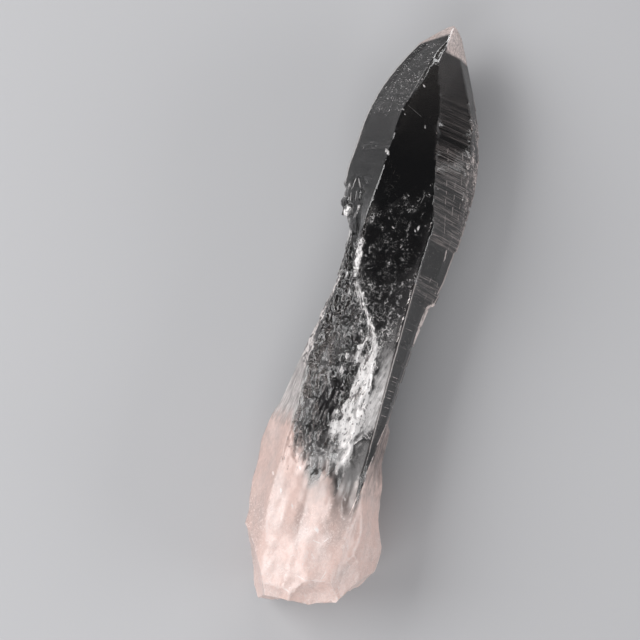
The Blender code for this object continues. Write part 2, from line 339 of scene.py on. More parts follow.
pastBand, wider, widerFrom, widerTo = zones["etchedPastBand"]
etchedEdge = band - pastBand - wider * (1 - ramp(down, widerFrom, widerTo))
etched = span(down, *zones["etchedReach"]) * (across < leftRidge + zones["etchedPastRidge"])
etched *= (across > etchedEdge) * (up > level["etched"])
smoother, smootherFrom, smootherTo = zones["smoothNearBand"]
nearBand = np.exp(-np.maximum(across - band, 0) / zones["smoothWidth"])
etched *= 1 - smoother * nearBand * ramp(down, smootherFrom, smootherTo)
besideRidge = (across < leftRidge - zones["growthPastRidge"]) * (up > level["band"])
etched = np.maximum(etched, stretch(*zones["growth"]) * besideRidge)
mottled = ramp(down, *zones["mottledFrom"]) * (1 - ramp(down, *zones["mottledTo"]))
mottled *= (across > leftRidge) * (across < rightRidge) * (up > level["front"])
broken = ramp(down, *zones["brokenFrom"]) * (1 - resting)
ragged = span(down, *zones["raggedReach"]) * ramp(beside, *zones["raggedBeside"]) * (up > level["ladder"])

# Relief, in mm out of the surface

relief = {
    "pits": 0.42,
    "pitsAt": (0.0, 0.4),  # the noise that they start and are deepest at
    "flakes": 0.2,
    "hackle": 0.17,
    "skin": 0.035,
    "mottledSkin": 0.5,  # its share on the mottled face
    "chips": 0.08,
    "chipsAt": (-0.1, 0.4),
    "growth": (0.7, 40.3, 44.5, 1.3),  # how far the jagged growth stands out
    "growthLeft": (9.4, 11.2),
    "tipKept": (3, 6),
}

chipNoise = grain(places, *noises["chips"])
lift = -etched * relief["pits"] * ramp(grain(places, *noises["pits"]), *relief["pitsAt"])
lift += etched * relief["flakes"] * grain(places, *noises["flakes"])
lift += broken * relief["hackle"] * grain(places, *noises["hackle"])
skinned = np.maximum(np.maximum(etched, broken), relief["mottledSkin"] * mottled)
lift += skinned * relief["skin"] * grain(places, *noises["skin"])
lift -= ragged * relief["chips"] * ramp(chipNoise, *relief["chipsAt"])
lift += stretch(*relief["growth"]) * ramp(-across, *relief["growthLeft"]) * (up > level["etched"])
lift *= np.where(resting, 0, 1) * ramp(down, *relief["tipKept"])
places += normals * lift[:, None]  # across and up look into places, so they change with it
lowest, highest = (np.array(corner) / mm for corner in cadBox)
places = np.clip(places, lowest, highest)
for point, place in zip(form.verts, places):
    point.co = Vector(place) * mm
form.normal_update()

# Worn edges, and how far inside the outline each point lies

wear = {
    "sharp": math.radians(24),
    "ring": 0.25,  # mm between the places where the outline is measured
    "ringsEnd": 121.5,
    "kept": (0.4, 0.3, 46, 60),  # share that stays worn, and how much more further down
    "chipped": 1.2,
    "lessOnLeft": (0.7, 24, 46, 2),
}


def wornEdges():
    worn = np.zeros(len(form.verts))
    for edge in form.edges:
        if edge.is_manifold and edge.calc_face_angle_signed(0) > wear["sharp"]:
            for point in edge.verts:
                worn[point.index] = 1
    worn *= np.clip(rising(*wear["kept"]) + wear["chipped"] * chipNoise, 0, 1)
    return worn * (1 - stretch(*wear["lessOnLeft"]) * (across < 0))


def outermost(side):  # how far inside the outline each point lies, on the left (-1) or the right (1)
    gap = wear["ring"]
    ends = np.array([[point.index for point in edge.verts] for edge in form.edges])
    first, second = ends[:, 0], ends[:, 1]
    swapped = down[first] > down[second]
    first, second = np.where(swapped, second, first), np.where(swapped, first, second)
    rings = np.arange(0, wear["ringsEnd"], gap)
    reach = np.full(len(rings), -np.inf)
    longest = int(np.max(down[second] - down[first]) / gap) + 2
    for turn in range(longest):  # every edge that crosses a ring says how far out the crystal is there
        ring = np.ceil(down[first] / gap).astype(int) + turn
        crosses = (ring * gap <= down[second]) & (ring < len(rings))
        start, end, at = first[crosses], second[crosses], ring[crosses]
        share = (at * gap - down[start]) / np.maximum(down[end] - down[start], 1e-6)
        np.maximum.at(reach, at, side * (across[start] + (across[end] - across[start]) * share))
    known = np.isfinite(reach)
    return np.interp(down, rings[known], reach[known]) - side * across


form.verts.index_update()
worn = wornEdges()
insideLeft = outermost(-1)
insideRight = outermost(1)

# Fields over the surface, each from 0 to 1. Frost is how milky it looks, and flaky and wispy are how far the
# milk is broken up. Dust is how thickly white specks lie. Painted shade is how dark the clear quartz is
# painted, in place of the dark surroundings that it would show, and blush is how pink the milk is. Lined
# sheen is how strongly the growth lines show, with the painted grey sheen that they carry, and the painted
# rim light is how pale the outline is.

fields = {}
for name in ("frost", "flaky", "wispy", "dust", "painted_shade", "blush", "lined_sheen", "painted_rim_light"):
    fields[name] = np.zeros(len(down))
over = {name: grain(places, *noises[name]) for name in ("cloud", "wisp", "clump", "fingers")}
upper = up > level["upper"]
frontFace = upper * (across > leftRidge) * (across < rightRidge)
rightFace = (beside > 0) * (up > level["ladder"])
leftFace = upper * (across < leftRidge) * (down < leftFaceEnd)


# Lays a field on a zone, where it is stronger than what is there: how much everywhere, how much more from
# start to end in mm down, and how much more by name, from what lies over the surface
def lay(name, zone, least=1, more=0, start=0, end=1, **shares):
    amount = rising(least, more, start, end)
    for kind, share in shares.items():
        amount = amount + share * over[kind]
    np.maximum(fields[name], np.clip(zone * amount, 0, 1), out=fields[name])


def wane(name, share):  # takes a share away
    fields[name] *= 1 - share


def patch(downTo, acrossTo, length, width):  # 1 at a place, fading out round it
    return np.exp(-((down - downTo) / length) ** 2 - ((across - acrossTo) / width) ** 2)


def slanting(acrossTo, downTo, slope):  # how far down a straight line lies that goes through a place
    return downTo + slope * (across - acrossTo)


# The milky base: it starts in fingers, further down in the middle than at the sides

base = {
    # across, then how far down it starts there
    "start": (
        (-9.8, 84), (-8, 88), (-5, 90.5), (-3, 95.5), (-1, 92.5), (1, 93.5), (2.4, 96.5), (6.4, 97),
        (6.8, 96), (8, 92),
    ),
    "fingers": 1.7,  # mm
    "soft": 2.7,
    "softerRight": 2.3,
    "rightAcross": (1.4, 3.0),
    "middle": (-3.5, 5.0, 2.5),  # from and to across, and how softly
    "middleLength": 14,
    "leftmost": (8, 10),
}

baseStart = acrossAt(base["start"], across)
baseSoft = base["soft"] + base["softerRight"] * ramp(across, *base["rightAcross"])
milkyBase = ramp((down - baseStart + base["fingers"] * over["fingers"]) / baseSoft, -1, 1)
inBase = 1 - span(across, *base["middle"]) * (1 - ramp(down - baseStart, 0, base["middleLength"]))
over.update(inBase=inBase, leftmost=ramp(-across, *base["leftmost"]))
lay("frost", milkyBase, 0.77, inBase=0.19, leftmost=-0.12, cloud=0.06)
lay("frost", milkyBase, 0, 0.95, 112, 120)
lay("blush", milkyBase, 0.95, cloud=0.2)

# Its grey window on the front face, and the pinkish blade beside the dark strip

flank = {
    "windowAcross": (2.4, 6.0, 0.3),
    "windowReach": (86, 98, 1.2),
    "windowRight": (4.4, 5.6),
    "bladeEdge": ((78, 9.0), (80, 8.5), (86.6, 7.5), (93, 6.9), (101.3, 5.6)),
    "bladeSoft": 0.1,
    "bladeReach": (79, 95, 2),
}

window = frontFace * span(across, *flank["windowAcross"]) * span(down, *flank["windowReach"])
over["windowRight"] = ramp(across, *flank["windowRight"])
lay("frost", window, 0.42, 0.18, 88, 98, windowRight=0.06)
pastEdge = across - acrossAt(flank["bladeEdge"], down)
blade = rightFace * ramp(pastEdge, -flank["bladeSoft"], flank["bladeSoft"])
blade *= span(down, *flank["bladeReach"])
lay("frost", blade, 0.5, 0.32, 86, 94, wisp=0.2)
lay("blush", blade, 0.9)

# The smooth frosted band on the left

leftSide = {"from": (50, 58), "edgeSoft": 0.1, "width": (0.45, 6.0, 66, 82), "widthSoft": 0.4}

bandWidth = rising(*leftSide["width"])
leftBand = ramp(down, *leftSide["from"]) * ramp(band - across, -leftSide["edgeSoft"], leftSide["edgeSoft"])
leftBand *= (up > level["band"]) * (1 - ramp(insideLeft, bandWidth, bandWidth + leftSide["widthSoft"]))
lay("frost", leftBand, 0.68, 0.08, 76, 88, cloud=0.1)
lay("blush", leftBand, 0.2, 0.4, 82, 92)

# The etched side: dark and flaky on its left, its gaps darkened with painted shade, a white net towards its
# bright ridge and down the crystal

etch = {
    "leastWidth": 0.01,
    "clumps": 0.3,
    "netAcross": (0.46, 0.95),  # shares of the way from the band to the ridge
    "netFrom": (58, 74),
    "hazeWidth": 1.3,
    "hazeFrom": (62, 80),
    "ridgeLeft": 0.3,
    "ridgeWidth": (0.3, 1.0, 57, 72),
    "ridgeReach": (56, 90, 2),
    "endFrom": (80, 92),
    "endFlakesLess": 0.75,
    "endShadeLess": 0.6,
}

toRidge = (across - band) / (leftRidge - band + etch["leastWidth"])
net = ramp(toRidge + etch["clumps"] * over["clump"], *etch["netAcross"])
net *= ramp(down, *etch["netFrom"])
over["net"] = net
lay("frost", etched, 0.16, net=0.62, clump=0.4, wisp=0.12)
haze = np.exp(-np.maximum(across - band, 0) / etch["hazeWidth"]) * ramp(down, *etch["hazeFrom"])
lay("frost", haze * (across < leftRidge) * (up > level["etched"]), 0.6, wisp=0.1)
lay("flaky", etched)
ridgeOff = np.abs(across - leftRidge + etch["ridgeLeft"])
brightRidge = np.exp(-ridgeOff / rising(*etch["ridgeWidth"])) * span(down, *etch["ridgeReach"])
lay("frost", brightRidge, 0.85)
lay("flaky", brightRidge)
# Painted shade between the flakes, none in the white net
lay("painted_shade", etched * (1 - net), 0.75)
# Its lower end turns milkier, with fewer flakes and less painted shade
etchedEnd = etched * ramp(down, *etch["endFrom"])
lay("frost", etchedEnd, 0.56, fingers=0.15)
wane("flaky", etch["endFlakesLess"] * etchedEnd)
wane("painted_shade", etch["endShadeLess"] * etchedEnd)

# The front face: painted shade over it, mottled below the slanting crack, then a frosted wedge along its
# right ridge

front = {
    "crack": ((-6.5, 44.5), (-3.5, 41.7), (1.0, 36.0), (3.6, 33.2)),  # across, then down
    "crackSoft": (0.1, 0.5),  # mm above and below it
    "paintedShadeAboveCrack": (-2.4, -0.1, 0.3),
    "mottleTo": (92, 97),
    "palePlace": (39.5, -2.0, 1.8, 1.4),  # down, across, length and width
    "crease": (2.5, 87.4, -1.33),  # across, down, and how it slants
    "creaseSoft": 0.4,
    "wedge": ((56, 0.2), (60, 0.9), (63.7, 2.0), (67.6, 2.9), (74.9, 3.6), (79, 5.2), (85, 6.0)),
    "wedgeFrom": (56, 62),
    "wedgeWisps": 1.2,  # mm
    "wedgeSoft": (-0.6, 2.6),
    "wedgeUnbroken": (0.1, 0.5),
    "strip": (-0.95, -0.12, 0.1),  # mm beside the right ridge
    "stripTo": (64, 70),
    "stripClear": 0.7,
    "shadeFrom": (5, 7),
    "dustReach": (9, 30, 2),
}

crackAt = acrossAt(front["crack"], across)
softAbove, softBelow = front["crackSoft"]
mottle = frontFace * ramp(down, crackAt - softAbove, crackAt + softBelow)
mottle *= 1 - ramp(down, *front["mottleTo"])
over["palePlace"] = patch(*front["palePlace"])
lay("frost", mottle, 0.08, 0.34, 44, 74, clump=0.2, palePlace=0.2)
lay("wispy", mottle)
lay("dust", mottle, 0.3, 0.3, 42, 50, clump=0.5)
creaseAt = slanting(*front["crease"])
aboveCrease = 1 - ramp(down, creaseAt - front["creaseSoft"], creaseAt + front["creaseSoft"])
inWedge = beside + acrossAt(front["wedge"], down) + front["wedgeWisps"] * over["wisp"]
wedge = frontFace * aboveCrease * ramp(down, *front["wedgeFrom"]) * ramp(inWedge, *front["wedgeSoft"])
strip = span(beside, *front["strip"]) * (1 - ramp(down, *front["stripTo"]))
wane("wispy", ramp(wedge, *front["wedgeUnbroken"]))
wane("frost", wedge * strip)
lay("frost", wedge * (1 - front["stripClear"] * strip), 0.52, 0.28, 64, 76, cloud=0.1)
wane("wispy", window)
# Painted shade over the front face, a little less further down, and a band of painted shade just above the
# crack
lay("painted_shade", frontFace * ramp(down, *front["shadeFrom"]), 1, -0.3, 34, 50)
lay("painted_shade", frontFace * span(down - crackAt, *front["paintedShadeAboveCrack"]))
# The milky base takes the painted shade away
wane("painted_shade", milkyBase * inBase)
lay("dust", frontFace * span(down, *front["dustReach"]), 0.3)

# The left head face: painted shade all over, grainy near the tip, with one pale speckled band, and greyer
# down to the jagged growth, where its growth lines carry more painted grey sheen

head = {
    "linedReach": (15.5, 21.2, 1.5),
    "tipReach": (6, 21, 2.5),
    "speckedReach": (28.2, 29.5, 0.15),
    "speckedInside": (0.4, 1.4),
    "haze": (43.5, -5.3, 2.2, 0.9),  # down, across, length and width
}

# Painted shade over the left head face, and growth lines with a painted grey sheen
lay("painted_shade", leftFace, 0.98)
lay("lined_sheen", leftFace, 0.2, 0.1, 36, 42)
lay("lined_sheen", leftFace * span(down, *head["linedReach"]), 0.3)
over["nearTip"] = span(down, *head["tipReach"])
lay("dust", leftFace, 0.5, nearTip=0.5)
specked = leftFace * span(down, *head["speckedReach"]) * ramp(insideLeft, *head["speckedInside"])
lay("dust", specked, 0.7, clump=0.3)
lay("lined_sheen", specked, 0.42)
haze = upper * patch(*head["haze"])
lay("frost", haze, 0.5)
lay("wispy", haze)

# The tip, frosted down to a slanting limit on each side, and the pitted notch below it, with painted shade

tip = {
    "sidesMeet": 5,  # mm down
    "rightLimit": (0, 6.5, 0.12),  # across, down, and how it slants
    "leftLimit": (-1.2, 3.2, -0.6),
    "limitSoft": (0.35, 0.45),  # mm above and below it
    "notchReach": (4.6, 10, 0.5),
}

onRight = across > acrossAt(ridgeRight, tip["sidesMeet"])
tipLimit = np.where(onRight, slanting(*tip["rightLimit"]), slanting(*tip["leftLimit"]))
softAbove, softBelow = tip["limitSoft"]
onTip = 1 - ramp(down, tipLimit - softAbove, tipLimit + softBelow)
lay("frost", onTip, 0.75)
lay("blush", onTip, 0.6)
notch = frontFace * span(down, *tip["notchReach"])
lay("dust", notch)
# Painted shade in the notch
lay("painted_shade", notch)

# The ladder face: painted shade over it and its dark lower part, growth lines with a painted grey sheen, its
# ragged right edge and the white growth on its lower edge

ladder = {
    "shadeReach": (6, 92, 4),
    "lined_sheen": (0.24, 0.16, 12, 21),
    "linedBelow": (0, 0.2, 24.9, 27),
    "linedLess": (0.7, 45, 51, 0.4),
    "linedLessBelow": (0, 0.15, 54, 57),
    "linedFrom": (7, 9),
    "lowReach": (20, 85, 5),
    "shoulder": (45, 56, 1),
    "neck": (58, 82, 3),
    "growthReach": (55.4, 64, 0.5),
    "growthAcross": (8.8, 9.4),
    "growthInside": (0.5, 0.9),
    "growthWisps": 0.5,  # mm
}

# Painted shade over the ladder face, except where it turns milky
lay("painted_shade", rightFace * span(down, *ladder["shadeReach"]) * (1 - milkyBase), 0.985)
# Growth lines on the ladder face, with the painted grey sheen that they carry
linedMore = rising(*ladder["lined_sheen"]) + rising(*ladder["linedBelow"])
linedLess = 1 - stretch(*ladder["linedLess"]) - rising(*ladder["linedLessBelow"])
lay("lined_sheen", rightFace * linedMore * linedLess * ramp(down, *ladder["linedFrom"]))
lay("lined_sheen", (1 - upper) * span(down, *ladder["lowReach"]), 0.6)
# The milk there, its painted grey sheen as well, is tinted mauve
lay("blush", rightFace, 0.45)
lay("frost", ragged, 0.3, clump=0.5)
lay("wispy", ragged)
over.update(shoulder=span(down, *ladder["shoulder"]), neck=span(down, *ladder["neck"]))
lay("dust", rightFace, 0.12, shoulder=0.5, neck=0.45)
lowerEdge = span(down, *ladder["growthReach"]) * ramp(across, *ladder["growthAcross"])
inner, outer = (edge + ladder["growthWisps"] * over["wisp"] for edge in ladder["growthInside"])
lay("frost", lowerEdge * (up > level["etched"]) * (1 - ramp(insideRight, inner, outer)), 0.9)

# The jagged growth on the left, with painted shade, and the pale outline, a painted rim light

edges = {
    "growthReach": (41.5, 56, 1),
    "growthPastRidge": 1.6,
    "growthMost": 0.6,
    "laceReach": (36, 43.5, 1),
    "laceInside": (0.9, 1.7),
    "leftRimLights": ((0.72, 4, 36, 2), (0.6, 43, 58, 2)),
    "rightRimLight": (14, 56, 4),
    "rightRimLightBelow": (0.6, 58, 84, 2),
    "overKeel": 0.5,  # mm that each mm over or under the keel counts
    "underKeel": 1.6,
}

growth = upper * span(down, *edges["growthReach"]) * (across < leftRidge - edges["growthPastRidge"])
over["growth"] = np.minimum(0.26 + 0.6 * over["wisp"] + 0.4 * over["clump"], edges["growthMost"])
lay("frost", growth, 0, growth=1)
lay("flaky", growth)
# Painted shade in the jagged growth
lay("painted_shade", growth, 0.85)
lace = upper * span(down, *edges["laceReach"]) * (1 - ramp(insideLeft, *edges["laceInside"]))
lay("frost", lace, 0.3, wisp=0.6, clump=0.2)
lay("flaky", lace, 0.3)
lay("wispy", lace, 0.7)
# Painted rim light: the outline is painted pale along the left and the right
for painted_rim_light in edges["leftRimLights"]:
    lay("painted_rim_light", (insideLeft < insideRight) * stretch(*painted_rim_light))
nearRight = insideRight < insideLeft
lay("painted_rim_light", nearRight * span(down, *edges["rightRimLight"]), 0.45, 0.25, 30, 50)
lay("painted_rim_light", nearRight * stretch(*edges["rightRimLightBelow"]))
overKeel = up - level["keel"]
keelOff = np.where(overKeel > 0, edges["overKeel"], edges["underKeel"]) * overKeel
outlineOff = np.hypot(np.minimum(insideLeft, insideRight), keelOff)
print("relief and frost: done")

skin = BVHTree.FromBMesh(form)
mesh = bpy.data.meshes.new("quartz_surface")
form.to_mesh(mesh)
form.free()
fields.update(beside=beside, worn=worn, inside=outlineOff, fromRidge=across - leftRidge)
for name, field in fields.items():
    mesh.attributes.new(name, "FLOAT", "POINT").data.foreach_set("value", field.astype(np.float32))
mesh.shade_smooth()
mesh.set_sharp_from_angle(angle=surface["sharpAngle"])
crystal = bpy.data.objects.new("quartz_surface", mesh)
bpy.context.scene.collection.objects.link(crystal)


# Shader maths: a wrapped socket adds its own Math nodes

class Value:
    def __init__(self, finish, socket):
        self.finish = finish
        self.socket = socket

    def __add__(self, other):
        return self.finish.maths("ADD", self, other)

    def __sub__(self, other):
        return self.finish.maths("SUBTRACT", self, other)

    def __rsub__(self, other):
        return self.finish.maths("SUBTRACT", other, self)

    def __mul__(self, other):
        return self.finish.maths("MULTIPLY", self, other)

    def __or__(self, other):  # the stronger of two
        return self.finish.maths("MAXIMUM", self, other)

    __radd__ = __add__
    __rmul__ = __mul__


class Finish:  # one material and the nodes in it
    def __init__(self, name):
        self.material = bpy.data.materials.new(name)
        self.material.use_nodes = True
        self.tree = self.material.node_tree
        self.tree.nodes.clear()
        self.where = self.node("ShaderNodeTexCoord", result="Object")

    def node(self, kind, settings=None, result=0, **sockets):
        made = self.tree.nodes.new(kind)
        for setting, value in (settings or {}).items():
            setattr(made, setting, value)
        for name, value in sockets.items():
            place = int(name[1:]) if name[1:].isdigit() else name.replace("_", " ")
            socket = made.inputs[place]
            if isinstance(value, Value):
                self.tree.links.new(value.socket, socket)
            else:
                socket.default_value = value
        return Value(self, made.outputs[result])

    def output(self, **parts):
        end = self.tree.nodes.new("ShaderNodeOutputMaterial")
        for name, value in parts.items():
            self.tree.links.new(value.socket, end.inputs[name])

    def maths(self, operation, first, second=0.0):
        return self.node("ShaderNodeMath", {"operation": operation}, i0=first, i1=second)

    def least(self, first, second):
        return self.maths("MINIMUM", first, second)

    def far(self, value):  # how far from 0
        return self.maths("ABSOLUTE", value)

    def rise(self, value, start, end):  # 0 before start, 1 after end
        settings = {"interpolation_type": "SMOOTHSTEP"}
        return self.node("ShaderNodeMapRange", settings, Value=value, From_Min=start, From_Max=end)

    def between(self, value, start, end, soft):  # 1 from start to end
        return self.rise(value, start - soft, start) * (1 - self.rise(value, end, end + soft))

    def field(self, name):
        return self.node("ShaderNodeAttribute", {"attribute_name": name}, result="Fac")

    def stretched(self, size, turn=0.0):  # object coordinates, in units of size mm
        return self.node(
            "ShaderNodeMapping", {"vector_type": "TEXTURE"}, Vector=self.where, Rotation=(0, 0, turn),
            Scale=[part * mm for part in size],
        )

    def noise(self, size, detail=2.0, rough=0.5, swirl=0.0, turn=0.0):
        return self.node(
            "ShaderNodeTexNoise", Vector=self.stretched(size, turn), Scale=1.0, Detail=detail,
            Roughness=rough, Distortion=swirl,
        )

    def grained(self, name):
        return self.noise(*quartzNoise[name])

    def mark(self, start, end, width, rough, soft=0.5):  # 1 along a line between two places, with a rough rim
        along = Vector((end[1] - start[1], start[0] - end[0]))
        middle = ((start[1] + end[1]) / 2 * mm, (tipY - (start[0] + end[0]) / 2) * mm, 0)
        offset = self.node(
            "ShaderNodeMapping", {"vector_type": "TEXTURE"}, Vector=self.where, Location=middle,
            Rotation=(0, 0, math.atan2(along.y, along.x)),
            Scale=((along.length / 2 + width) * mm, width * mm, 1000),
        )
        far = self.node("ShaderNodeVectorMath", {"operation": "LENGTH"}, result="Value", i0=offset)
        return 1 - self.rise(far + rough, soft, 1.0)

    def mix(self, factor, first, second):
        return self.node("ShaderNodeMix", {"data_type": "RGBA"}, result=2, i0=factor, i6=first, i7=second)


# The quartz: clear glass, or glass painted dark as painted shade, and over it the tone of the milk, where 0
# is clear and 1 is white

quartzLook = {
    "clear": (0.97, 0.97, 0.98, 1),
    # the colour of the painted shade in the glass
    "paintedShade": (0.008, 0.0072, 0.006, 1),
    "milk": (0.9, 0.87, 0.86, 1),
    "pink": (0.88, 0.65, 0.585, 1),
    "smoke": (0.6, 0.56, 0.54, 1),
    "smokiness": 60.0,
    "index": 1.544,
    "clearRoughness": 0.02,
    "frostRoughness": 0.2,
    "dustRoughness": 0.1,
    "milkRoughness": 0.34,
    "milkGlass": 0.3,
    "bumpStrength": 0.6,
    "bumpDepth": 0.12,  # mm
    "bumps": (0.03, 0.2, 0.4, 7, 14),  # everywhere, on frost, and more on frost from and to down
    "lineBumps": 0.5,
    "pinkness": (0.65, 0.7),  # even, and by the uneven noise
    "paintedShadeMost": 0.9,  # how much of the milk the painted shade takes away
    "upper": (8.0, 8.6),  # mm over the floor; the marks lie above
    "speckGap": (0.32, 0.32, 0.32),  # mm between specks along x, y and z
    "whiteLines": (2.8, 4.5, 6.0),  # mm to the right of the ridge
}

# Noise in the finish: its size in mm along x, y and z, then its detail, roughness, swirl and turn
quartzNoise = {
    "grains": ((0.5, 0.8, 0.5), 5.0, 0.6),
    "fibres": ((0.3, 2.6, 0.3), 3.0, 0.6, 0.3, -0.2),
    "flakes": ((0.8, 2.0, 0.8), 5.0, 0.62, 0.6),
    "pits": ((0.5, 1.1, 0.5), 3.0, 0.6),
    "hairs": ((1.3, 1.7, 1.3), 3.0, 0.55, 1.0),
    "finerHairs": ((0.65, 0.85, 0.65), 2.0, 0.5, 1.4, 1.1),
    "hairGaps": ((0.9, 1.2, 0.9), 2.0, 0.6),
    "dusty": ((1.0, 1.0, 1.0), 3.0, 0.6),
    "bright": ((0.6, 0.6, 0.6),),
    "lines": ((14.0, 0.24, 14.0), 3.0, 0.65),
    "finerLines": ((7.0, 0.12, 7.0), 2.0, 0.6),
    "wander": ((1.0, 5.0, 1.0), 2.0),
    "lineGaps": ((0.5, 1.3, 0.5), 3.0),
    "ragged": ((0.5, 0.9, 0.5), 3.0, 0.6),
    "chipped": ((0.3, 0.3, 0.3), 4.0, 0.7),
    "bumps": ((0.3, 0.6, 0.3), 4.0, 0.6),
    "uneven": ((4.0, 6.0, 4.0), 3.0),
}

# Painted shade on the ladder face, as dark ledges and blocks: from and to down the crystal, then to the right
# of the ridge
paintedShadeBlocks = (
    (22.65, 22.85, 0.2, 9),
    (23.95, 24.85, 0.25, 7.0),
    (33.5, 33.72, 0.0, 6.4),
    (34.0, 34.2, 0.0, 6.2),
    (36.85, 37.05, 0.0, 4.2),
    (38.35, 38.5, 0.0, 4.0),
    (45.6, 51.2, 0.3, 4.1),
    (55.2, 79, 0.2, 3.0),
)

# Painted shade: the dark strip low on the right, and a dark line above the grey window: from and to, each as
# down and across, then half the width in mm, and how dark
paintedShadeMarks = (
    ((77.0, 7.9), (84.0, 7.3), 0.9, 1.0),
    ((82.0, 7.2), (91.0, 6.7), 0.65, 1.0),
    ((89.0, 6.8), (97.0, 6.5), 0.4, 0.8),
    ((86.6, 2.4), (83.4, 4.4), 0.5, 0.5),
)

# Single marks: from and to, each as down and across, then half the width in mm, and how pale
paleMarks = (
    ((15.1, -2.3), (15.5, -1.9), 0.2, 0.8),  # chips along the left ridge of the head
    ((21.2, -5.0), (21.4, -4.7), 0.15, 0.7),
    ((22.1, -4.4), (22.3, -4.2), 0.15, 0.7),
    ((8.6, -2.0), (21.0, -4.9), 0.16, 0.4),
    ((23.1, 0.0), (24.0, 0.2), 0.25, 0.7),
    ((30.0, -5.8), (30.8, -5.4), 0.5, 0.8),
    ((19.9, -4.8), (22.2, -0.2), 0.08, 0.3),  # the faint line on the front face
    ((44.3, -0.9), (44.6, -0.4), 0.18, 0.8),  # white spots below the crack
    ((42.9, 4.1), (43.6, 4.0), 0.35, 0.85),
    ((43.8, 3.5), (44.1, 3.7), 0.2, 0.7),
    ((36.4, 3.6), (38.9, 3.1), 0.12, 0.45),
    ((35.2, -10.0), (38.4, -10.4), 0.16, 0.7),  # the two sides of the jagged growth
    ((38.0, -10.4), (41.5, -9.8), 0.16, 0.6),
    ((35.2, -9.9), (38.0, -8.6), 0.14, 0.6),
    ((37.8, -9.4), (40.6, -9.0), 0.12, 0.5),
    ((46.6, -6.1), (56.2, -5.1), 0.85, 0.95),  # the bright blade
    ((55.0, -5.5), (60.4, -2.4), 0.2, 0.8),
    ((55.5, -4.7), (63.0, -1.2), 0.16, 0.7),
    ((62.2, 6.7), (62.0, 9.0), 0.09, 0.6),  # fine lines across the dark strip
    ((65.9, 6.7), (65.7, 8.8), 0.08, 0.5),
    ((71.9, 6.6), (71.7, 8.7), 0.1, 0.75),
    ((72.7, 6.6), (72.5, 8.7), 0.07, 0.55),
    ((74.7, 6.6), (74.5, 8.4), 0.09, 0.7),
    ((75.5, 6.6), (75.3, 8.4), 0.07, 0.5),
    ((76.1, 6.6), (75.9, 8.4), 0.1, 0.75),
    ((78.0, 6.6), (77.8, 8.3), 0.08, 0.55),
    ((79.7, 6.6), (79.5, 8.3), 0.1, 0.6),
    ((44.6, 10.8), (47.6, 11.0), 0.22, 0.75),  # on the ladder face
    ((43.6, 6.6), (43.2, 9.2), 0.14, 0.55),
    ((25.0, 11.2), (27.0, 11.6), 0.3, 0.8),
    ((88.0, 2.0), (83.8, 5.2), 0.17, 0.85),  # the crease above the grey window
    ((79.0, 8.7), (87.4, 7.3), 0.16, 0.8),  # the pale line beside the dark strip
    ((86.4, 7.6), (94.0, 6.7), 0.16, 0.8),
    ((93.0, 6.9), (102.0, 5.5), 0.14, 0.9),
    ((89.4, 5.6), (98.0, 5.6), 0.5, 0.6),
)

# White chips with painted glints, and white arcs, in the milky base, given in the same way
paintedGlints = (
    ((103.8, 0.4), (104.4, 0.9), 0.5, 1.0),
    ((96.8, 4.1), (97.2, 4.4), 0.28, 0.9),
    ((93.3, -5.7), (94.0, -5.3), 0.3, 0.9),
    ((98.2, -8.0), (99.2, -7.8), 0.3, 1.0),
    ((95.6, -10.4), (96.2, -10.1), 0.25, 0.8),
    ((100.6, -5.2), (101.3, -4.8), 0.25, 0.8),
    ((106.1, 0.0), (106.4, 2.4), 0.16, 0.9),
    ((106.2, 2.3), (104.6, 3.5), 0.14, 0.9),
    ((108.4, 0.6), (109.6, 1.9), 0.14, 0.7),
    ((113.2, -1.2), (113.9, 1.4), 0.15, 0.8),
    ((116.2, -3.0), (116.9, -0.9), 0.2, 0.8),
    ((110.6, 4.6), (114.0, 3.6), 0.16, 0.7),
)


# The tones of the milk. In each rise, the numbers are the noise, or the mm, that it starts and is full at

def flakeTone(quartz, frosted):  # dark gaps, grey flakes and their white hearts
    flakes = quartz.grained("flakes") + 0.5 * frosted
    grey = 0.34 * quartz.rise(flakes, 0.67, 0.71)
    heart = 0.52 * quartz.rise(flakes, 0.77, 0.84)
    return (0.04 + grey + heart) * quartz.rise(quartz.grained("pits"), 0.36, 0.42)


def hairLines(quartz):  # fine curved hairs
    swirls = quartz.far(quartz.grained("hairs") - 0.5)
    finer = quartz.far(quartz.grained("finerHairs") - 0.47)
    return 1 - quartz.rise(quartz.least(swirls, finer), 0.004, 0.02)


def wispTone(quartz, frosted, hairs):  # hairs, broken up, over a faint haze
    gaps = quartz.rise(quartz.grained("hairGaps") + 0.5 * frosted, 0.58, 0.74)
    return hairs * gaps * 0.85 + 0.36 * frosted


def speckTone(quartz, dust):
    where = quartz.stretched(quartzLook["speckGap"])
    specks = quartz.node("ShaderNodeTexVoronoi", result="Distance", Vector=where, Scale=1.0)
    room = quartz.rise(quartz.grained("dusty"), 0.34, 0.56) * dust * 0.4
    bright = quartz.rise(quartz.grained("bright"), 0.45, 0.62)
    return quartz.rise(room - specks, 0.0, 0.14) * (0.42 + 0.42 * bright)


def lineAndSheenTone(quartz, lined_sheen, beside):  # growth lines, some dark, with the painted grey sheen that they carry, and broken white lines across them
    lines = quartz.grained("lines")
    finer = quartz.rise(quartz.grained("finerLines"), 0.4, 0.62)
    pale = quartz.rise(lines, 0.36, 0.62) * (0.55 + 0.9 * finer)
    tone = lined_sheen * (0.03 + 0.55 * pale) * (1 - 0.7 * quartz.rise(lines, 0.6, 0.68))
    wander = 0.8 * (quartz.grained("wander") - 0.5)
    gaps = quartz.rise(quartz.grained("lineGaps"), 0.46, 0.56) * quartz.rise(lined_sheen, 0.35, 0.5)
    for place in quartzLook["whiteLines"]:
        line = 1 - quartz.rise(quartz.far(beside + wander - place), 0.02, 0.17)
        tone = tone | line * gaps * 0.52
    return tone


